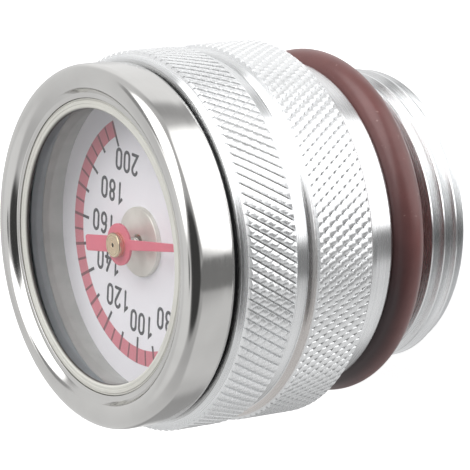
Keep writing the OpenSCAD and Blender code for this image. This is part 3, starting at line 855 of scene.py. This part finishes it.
class OILCAP_OT_gauge_shell(bpy.types.Operator):
    """Bezel, rubber lip, case and the rings round the glass"""

    bl_idname = "oilcap.gauge_shell"
    bl_label = "Bezel and case"

    def execute(self, context):
        bezel_r, hem, _ = span("bezel_ring")
        lip_r, sleeve_foot, lip_top = span("rubber_sleeve")
        glass_r, glass_foot, glass_top = span("lens")
        flange_r, case_foot, case_top = span("gauge_case")
        spacer_r, spacer_foot, _ = span("spacer_ring")
        window_r, case_r, sleeve_r, stem_r = 15.0, 16.6, 16.88, 2.45
        roll, roll_out, roll_in, hem_out = (bezel_r - 1.4, 34.04), 1.4, 0.9, 0.7
        lip_foot = lip_top - 0.7
        bezel = eased([(14.74, 34.06), (14.74, 34.48, 0.05), (15.24, 34.48, 0.14), (15.55, 34.84)],
                      closed=False)
        bezel += arc(*roll, roll_out, 143, 0, 26) + [(bezel_r, 32.2), (18.0, hem + 1.3)]
        bezel += arc(17.3, hem + hem_out, hem_out, 0, -90, 8)
        bezel += [(16.8, hem), (16.8, hem + 0.5), (17.3, hem + 0.5), (17.48, hem + hem_out), (17.52, 34.0)]
        bezel += arc(*roll, roll_in, 0, 125, 12) + [(15.3, 34.06)]
        turned("rolled_bezel", bezel, "polished_stainless", "gauge", "bezel_steel", "bezel_ring", sharp=40)
        sleeve = eased([(case_r + 0.02, sleeve_foot), (sleeve_r, sleeve_foot), (sleeve_r, lip_foot),
                        (lip_r, lip_foot, 0.1), (lip_r, lip_top, 0.3), (case_r + 0.02, lip_top)])
        turned("rubber_lip", sleeve, "black_sleeve_rubber", "gauge", "black_rubber", "rubber_sleeve")
        gasket = eased([
            (window_r, glass_top), (glass_r, glass_top), (glass_r, 34.04), (14.7, 34.04), (14.7, 34.36),
            (14.6, 34.42), (14.5, 34.38), (14.44, 34.45), (14.16, 34.48), (14.12, 34.44), (14.06, 34.47),
            (13.75, 34.47, 0.16), (13.6, 34.08, 0.06), (14.4, glass_top + 0.02)])
        turned("window_gasket", gasket, "cream_silicone", "gauge", "gasket_beige", "lens_gasket")
        glass = eased([(0.0, glass_foot), (glass_r, glass_foot, 0.05), (glass_r, glass_top, 0.05),
                       (0.0, glass_top)])
        turned("window_glass", glass, "float_glass", "gauge", "lens_glass", "lens")
        seat = eased([(window_r, 31.62, 0.05), (15.4, 31.62), (15.4, case_top), (glass_r, case_top),
                      (glass_r, glass_foot), (window_r, glass_foot, 0.1)])
        turned("glass_seat", seat, "grey_seat_rubber", "gauge", "seat_rubber", "lens_seat")
        spacer = eased([(window_r, spacer_foot, 0.05), (spacer_r, spacer_foot), (spacer_r, case_top),
                        (15.45, case_top), (15.45, 31.58), (window_r, 31.58, 0.08)])
        turned("dial_spacer", spacer, "anodised_spacer", "gauge", "spacer_grey", "spacer_ring")
        floor_top, flange_low, flange_top = case_foot + 0.8, 30.64, 31.24
        case = eased([
            (stem_r, case_foot), (case_r, case_foot, 0.6), (case_r, flange_low), (flange_r, flange_low, 0.1),
            (flange_r, flange_top, 0.1), (case_r, flange_top), (case_r, case_top), (16.0, case_top),
            (16.0, floor_top), (stem_r, floor_top)])
        turned("drawn_case", case, "drawn_steel", "gauge", "case_steel", "gauge_case")
        return {"FINISHED"}


def dial_place(degrees_centigrade):
    """Turn from +Y, clockwise seen from the dial's side, of a temperature, in radians."""
    return math.radians((degrees_centigrade - 100) * 1.5)


def mark_tree():
    """Node tree that sets the dial's marks round the scale, each kind with its own length."""
    tree, given = new_tree("Marks round the scale", "Shape: Geometry", "Count: Int", "First turn", "Step",
                           "Outer radius", "Short", "Middle", "Long", "Short width", "Width", "Height",
                           "Ink thickness", "Finish: Material")

    def between(low, high, share):
        return maths(tree, "ADD", low, maths(tree, "MULTIPLY", share, maths(tree, "SUBTRACT", high, low)))

    index = add(tree, "GeometryNodeInputIndex").outputs["Index"]
    turn = maths(tree, "ADD", maths(tree, "MULTIPLY", index, given["Step"]), given["First turn"])
    ten = maths(tree, "COMPARE", maths(tree, "MODULO", index, 2.0))
    twenty = maths(tree, "COMPARE", maths(tree, "MODULO", index, 4.0))
    reach = between(given["Short"], between(given["Middle"], given["Long"], twenty), ten)
    wide = between(given["Short width"], given["Width"], ten)
    x = maths(tree, "MULTIPLY", given["Outer radius"], maths(tree, "SINE", turn))
    y = maths(tree, "MULTIPLY", given["Outer radius"], maths(tree, "COSINE", turn))
    place = add(tree, "ShaderNodeCombineXYZ", {"X": x, "Y": y, "Z": given["Height"]})
    scale = add(tree, "ShaderNodeCombineXYZ", {"X": wide, "Y": reach, "Z": given["Ink thickness"]})
    return copies(tree, given, maths(tree, "MULTIPLY", turn, -1.0), place, scale)


# Pen strokes of a digit, 2 high and about 0.75 wide round its middle. A closed stroke ends where it starts.
STROKES = {
    "0": [bow(0, 0.5, 0.37, 0.5, 0, 180) + bow(0, -0.5, 0.37, 0.5, 180, 360) + [(0.37, 0.5)]],
    "1": [[(0.06, -1), (0.06, 0.98), (-0.28, 0.6)]],
    "2": [bow(0, 0.55, 0.36, 0.45, 165, -35) + [(-0.38, -1), (0.4, -1)]],
    "4": [[(0.16, 1), (-0.4, -0.42), (0.42, -0.42)], [(0.16, 0.1), (0.16, -1)]],
    "6": [bow(0, -0.44, 0.37, 0.56, 150, 510, 28), bow(0.05, 0.2, 0.42, 0.8, 55, 185)],
    "8": [bow(0, 0.52, 0.32, 0.48, -90, 270, 24), bow(0, -0.48, 0.37, 0.52, 90, 450, 24)],
}

# Middle of each number, in mm right of and above the dial's middle
NUMBERS = {"100": (-0.55, 8.4), "120": (3.95, 6.85), "140": (6.0, 3.6), "160": (7.1, -0.2),
           "180": (5.8, -3.9), "200": (3.35, -7.35), "80": (-4.6, 6.9), "60": (-7.4, 3.6),
           "40": (-7.8, -0.2), "20": (-6.5, -3.9), "0": (-4.7, -7.35)}


def pen(shape, path, width, low, high):
    """Adds one flat stroke of a width in mm, with round ends where it is open."""
    closed = (Vector(path[0]) - Vector(path[-1])).length < TINY
    points = [Vector(p) for p in (path[:-1] if closed else path)]
    sides = []
    for i, point in enumerate(points):
        before = points[i - 1] if closed or i else 2 * point - points[1]
        after = points[(i + 1) % len(points)] if closed or i < len(points) - 1 else 2 * point - points[i - 1]
        out = (after - point).normalized()
        along = ((point - before).normalized() + out).normalized()
        # A bend's mitre reaches no further than the stroke's whole width
        side = Vector((-along.y, along.x)) * width / 2 / max(along.dot(out), 0.5)
        sides.append((point + side, point - side))
    others = sides[1:] + sides[:1] if closed else sides[1:]
    flat = [(a[0], a[1], b[1], b[0]) for a, b in zip(sides, others)]
    if not closed:
        flat += [bow(*point, width / 2, width / 2, 0, 330, 11) for point in (points[0], points[-1])]
    # Every second length stands a micron higher, so that no two tops lie in one plane where they overlap
    for k, outline in enumerate(flat):
        prism(shape, outline, low, high + (k % 2) * 0.001)


def numeral(shape, text, x, y, tall, pen_width, low, high):
    """Adds a number, standing upright on the dial round its middle, in mm."""
    pitch = tall * 0.63
    for place, digit in enumerate(text):
        across = x + (place - (len(text) - 1) / 2) * pitch
        for path in STROKES[digit]:
            spots = [(across + px * tall / 2, y + py * (tall - pen_width) / 2) for px, py in path]
            pen(shape, spots, pen_width, low, high)


class OILCAP_OT_dial(bpy.types.Operator):
    """White dial with its red band, marks and numbers"""

    bl_idname = "oilcap.dial"
    bl_label = "Dial"

    def execute(self, context):
        s = sizes()
        radius, foot, top = span("dial_plate")
        printed = top + s.ink / MM
        hole_r = 2.45
        plate = eased([(hole_r, foot), (radius, foot), (radius, top, 0.05), (hole_r, top)])
        turned("dial_face", plate, "white_dial_lacquer", "gauge", "dial_white", "dial_plate")
        outline = [(reach * math.sin(dial_place(t)), reach * math.cos(dial_place(t)))
                   for reach, run in ((RED_OUT, range(201)), (RED_IN, range(200, -1, -1))) for t in run]
        band = piece("red_scale_band", slab(outline, top, printed), "red_dial_ink")
        stand_for(band, "gauge", "dial_white")
        metre = 1 / MM
        mark = slab([(-metre / 2, 0), (metre / 2, 0), (metre / 2, -metre), (-metre / 2, -metre)], 0, metre)
        marks = grow(mark, mark_tree(), {
            "Count": 41, "First turn": dial_place(0), "Step": dial_place(105), "Outer radius": RED_OUT * MM,
            "Short": 1.6 * MM, "Middle": 2.15 * MM, "Long": 2.7 * MM, "Short width": s.tick_width * 0.75,
            "Width": s.tick_width, "Height": printed * MM, "Ink thickness": s.ink,
            "Finish": finish("dark_dial_ink")})
        stand_for(piece("scale_marks", marks, "dark_dial_ink"), "gauge", "dial_white")
        digits = bmesh.new()
        for text, (x, y) in NUMBERS.items():
            numeral(digits, text, x, y, s.digit_height / MM, s.digit_width / MM, top, printed)
        bmesh.ops.recalc_face_normals(digits, faces=digits.faces)
        stand_for(piece("scale_numbers", as_mesh(digits), "dark_dial_ink"), "gauge", "dial_white")
        return {"FINISHED"}


class OILCAP_OT_needle(bpy.types.Operator):
    """Red pointer, brass hub and the nut under them"""

    bl_idname = "oilcap.needle"
    bl_label = "Pointer and nut"

    def execute(self, context):
        foot, top = span("pointer")[1:]
        disc, tip, tail = 2.1, 11.5, 6.1
        root_half, tip_half, tail_half, corner, tip_corner = 0.55, 0.36, 0.81, 0.3, 0.1
        # Where the tapered arm meets the disc
        reach = disc
        for _ in range(4):
            half = root_half + (tip_half - root_half) * reach / tip
            reach = math.sqrt(disc * disc - half * half)
        arm_turn = math.degrees(math.atan2(reach, half))
        tail_turn = math.degrees(math.acos(tail_half / disc))
        outline = [(tip_half, tip - tip_corner), (tip_half - tip_corner, tip), (tip_corner - tip_half, tip),
                   (-tip_half, tip - tip_corner)]
        outline += arc(0, 0, disc, 180 - arm_turn, 180 + tail_turn, 28)
        outline += arc(corner - tail_half, corner - tail, corner, 180, 270, 6)
        outline += arc(tail_half - corner, corner - tail, corner, 270, 360, 6)
        outline += arc(0, 0, disc, -tail_turn, arm_turn, 28)
        mesh = slab(outline, foot, top)
        mesh.transform(Matrix.Rotation(-dial_place(32), 4, "Z"))
        seed = placed("seed", mesh)
        soft = seed.modifiers.new("Soft edge", "BEVEL")
        soft.width = 0.05 * MM
        soft.segments = 2
        mesh = evaluated(seed)
        bpy.data.objects.remove(seed)
        hand = piece("red_pointer", mesh, "red_pointer_lacquer", sharp=50)
        stand_for(hand, "needle", "pointer_red", "pointer")
        radius, foot, top = span("pointer_hub")
        hub = eased([(0.2, foot), (radius, foot), (radius, top, 0.12), (0.2, top, 0.05)])
        turned("brass_hub", hub, "turned_brass", "needle", "hub_brass", "pointer_hub")
        radius, foot, top = span("dial_nut")
        nut = eased([(0.78, foot), (radius, foot, 0.05), (radius, top, 0.12), (0.78, top, 0.05)])
        turned("dial_clamp_nut", nut, "nickel_plate", "gauge", "nut_nickel", "dial_nut")
        return {"FINISHED"}


class OILCAP_OT_stem(bpy.types.Operator):
    """Stem, sensor tube and plug in the skirt, and the finishes of the hidden solids"""

    bl_idname = "oilcap.stem"
    bl_label = "Stem and inner parts"

    def execute(self, context):
        brass, steel = "turned_brass", "drawn_steel"
        for node, look in (("ring_nut", ALUMINIUM), ("friction_washer", "phosphor_bronze"),
                           ("stem_shank", brass), ("stem_seal", "black_sleeve_rubber"),
                           ("sensor_tube", steel), ("end_plug", brass), ("bimetal_helix", "tinted_bimetal"),
                           ("lower_bush", brass), ("upper_bush", brass), ("spindle", steel),
                           ("helix_collar", brass)):
            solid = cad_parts[node].data
            solid.materials.clear()
            solid.materials.append(finish(look))
        radius, foot, top = span("sensor_tube")
        wall = 0.4
        tube = eased([(radius - wall, foot), (radius, foot, 0.12), (radius, top), (radius - wall, top)])
        turned("stem_tube", tube, "drawn_steel", "gauge", "tube_steel", "sensor_tube")
        return {"FINISHED"}


# Stage

# What gloss sees of the room: the turn and rise of each patch's middle, its half width and half height, all
# in degrees, the share of it that is at its full light, and that light. A later patch covers an earlier one.
ROOM = (
    (0, -90, 52, 52, 0.7, 1.0),
    (80, 68, 50, 36, 0.6, 0.9),
    (138, 77, 9, 9, 0.4, 0.2),
    (60, -34, 24, 26, 0.5, 0.4),
    (125, -45, 32, 40, 0.6, 0.78),
    (322, -35, 34, 40, 0.6, 1.05),
    (228, -40, 38, 50, 0.8, 2.0),
    (285, -40, 10, 45, 0.2, 0.45),
    (172, -38, 10, 50, 0.7, 0.24),
    (176, 28, 46, 46, 0.7, 0.06),
    (270, 46, 34, 50, 0.8, 3.0),
    (309, 46, 12, 30, 0.5, 0.35),
)


# The camera as fitted to the photograph: its place in mm, its axes and its focal length in mm
CAMERA_PLACE = Vector((-255.27, -83.05, 198.45))
CAMERA_RIGHT = (-0.56565, -0.04990, -0.82314)
CAMERA_UP = (0.24054, -0.96475, -0.10681)
CAMERA_BACK = (-0.78879, -0.25841, 0.55771)
FOCAL_LENGTH = 245.1


def seen_straight(tree):
    """1 for a ray from the camera, also through the glass, and 0 for light."""
    path = add(tree, "ShaderNodeLightPath").outputs
    return maths(tree, "MAXIMUM", path["Is Camera Ray"], path["Is Transmission Ray"])


class OILCAP_OT_stage(bpy.types.Operator):
    """White floor, soft lamps and the camera at the photograph's view"""

    bl_idname = "oilcap.stage"
    bl_label = "Stage"

    def execute(self, context):
        scene = context.scene
        scene.view_settings.view_transform = "Standard"
        self.floor()
        self.studio(scene)
        self.lamp("key", (0.1, -0.6, 0.5), size=0.8, watts=5.0)
        self.lamp("fill", (-0.5, 0.2, 0.5), size=0.5, watts=1.0)
        lens = bpy.data.cameras.new("camera")
        lens.lens = FOCAL_LENGTH
        lens.sensor_width = 36.0
        lens.clip_start = 0.01
        lens.clip_end = 20.0
        camera = placed("camera", lens)
        turn = Matrix((CAMERA_RIGHT, CAMERA_UP, CAMERA_BACK)).transposed().to_4x4()
        camera.matrix_world = Matrix.Translation(CAMERA_PLACE * MM) @ turn
        scene.camera = camera
        return {"FINISHED"}

    def floor(self):
        """White studio floor: matt, lifted for the camera to read as white, and it keeps a soft shadow."""
        far, lift = 3.0, 0.6
        mesh = bpy.data.meshes.new("floor")
        mesh.from_pydata([(-far, -far, 0), (far, -far, 0), (far, far, 0), (-far, far, 0)], [], [(0, 1, 2, 3)])
        floor = placed("floor", mesh)
        floor.visible_glossy = False
        made, tree, shader, place = start("white_floor", Roughness=0.6, Specular_IOR_Level=0.1)
        cloud = noise(tree, place, 0.005)
        tree.links.new(ramp(tree, cloud, linear("F2F2F2"), linear("F7F7F7")), shader.inputs["Base Color"])
        shader.inputs["Emission Color"].default_value = (1, 1, 1, 1)
        glow = maths(tree, "MULTIPLY", seen_straight(tree), lift)
        tree.links.new(glow, shader.inputs["Emission Strength"])
        mesh.materials.append(made)

    def slope(self, tree, way, towards, low, high):
        """Light that rises across the room from low to high, towards one side."""
        side = add(tree, "ShaderNodeVectorMath", {0: way, 1: towards}, operation="DOT_PRODUCT")
        return spread(tree, side.outputs["Value"], low, high, -1.0, 1.0)

    def studio(self, scene):
        """White room. Gloss sees its soft boxes, its dark camera side and its paler floor."""
        world = bpy.data.worlds.new("studio")
        world.use_nodes = True
        scene.world = world
        tree = world.node_tree
        way = add(tree, "ShaderNodeTexCoord").outputs["Generated"]
        camera_side, far_side = 0.48, 0.82
        bright_side, dim, bright = (0.25, -0.85, -0.45), 0.15, 1.55
        level = self.slope(tree, way, (1, 0, 0), camera_side, far_side)
        for turn, rise, wide, tall, core, light in ROOM:
            turn, rise, wide, tall = (math.radians(angle) for angle in (turn, rise, wide, tall))
            axis = (math.cos(turn) * math.cos(rise), math.sin(turn) * math.cos(rise), math.sin(rise))
            near = add(tree, "ShaderNodeMapping", {
                "Vector": way, "Location": axis, "Rotation": (0, -rise, turn),
                "Scale": (1, math.sin(wide), math.sin(tall))}, vector_type="TEXTURE")
            away = add(tree, "ShaderNodeVectorMath", {0: near}, operation="LENGTH").outputs["Value"]
            share = add(tree, "ShaderNodeMapRange", {"Value": away, "From Min": 1.0, "From Max": core},
                        interpolation_type="SMOOTHSTEP")
            level = add(tree, "ShaderNodeMix", {0: share, 2: level, 3: light})
        soft = self.slope(tree, way, bright_side, dim, bright)
        plain = add(tree, "ShaderNodeMix", {0: seen_straight(tree), 2: soft, 3: 1.0})
        glossy = add(tree, "ShaderNodeLightPath").outputs["Is Glossy Ray"]
        strength = add(tree, "ShaderNodeMix", {0: glossy, 2: plain, 3: level})
        background = tree.nodes["Background"]
        background.inputs["Color"].default_value = (1, 1, 1, 1)
        tree.links.new(strength.outputs[0], background.inputs["Strength"])

    def lamp(self, name, place, size, watts):
        """A soft square lamp that looks at the middle of the cap."""
        light = bpy.data.lights.new(name, "AREA")
        light.shape = "SQUARE"
        light.size = size
        light.energy = watts
        made = placed(name, light)
        made.visible_glossy = False
        made.location = place
        aim = Vector((0, 0, 0.018)) - Vector(place)
        made.rotation_euler = aim.to_track_quat("-Z", "Y").to_euler()


class OILCAP_PT_panel(bpy.types.Panel):
    """Lists the steps and settings of the oil filler cap"""

    bl_idname = "OILCAP_PT_panel"
    bl_label = "Oil filler cap"
    bl_space_type = "VIEW_3D"
    bl_region_type = "UI"
    bl_category = "Oil Cap"

    def draw(self, context):
        for step in STEPS:
            self.layout.operator(step.bl_idname)
        for group in (context.scene.oil_cap_sizes, context.scene.oil_cap_colours):
            for name in group.__annotations__:
                self.layout.prop(group, name)


STEPS = (OILCAP_OT_stage, OILCAP_OT_cap, OILCAP_OT_holder, OILCAP_OT_seal, OILCAP_OT_gauge_shell,
         OILCAP_OT_dial, OILCAP_OT_needle, OILCAP_OT_stem)
CLASSES = (OilCapSizes, OilCapColours, *STEPS, OILCAP_PT_panel)


def register():
    """Registers the classes and their settings."""
    for kind in CLASSES:
        bpy.utils.register_class(kind)
    bpy.types.Scene.oil_cap_sizes = PointerProperty(type=OilCapSizes)
    bpy.types.Scene.oil_cap_colours = PointerProperty(type=OilCapColours)


def unregister():
    """Removes the classes and their settings."""
    del bpy.types.Scene.oil_cap_colours
    del bpy.types.Scene.oil_cap_sizes
    for kind in reversed(CLASSES):
        bpy.utils.unregister_class(kind)


def main():
    """Builds the whole scene."""
    register()
    for step in STEPS:
        group, name = step.bl_idname.split(".")
        getattr(getattr(bpy.ops, group), name)()


if __name__ == "__main__":
    main()
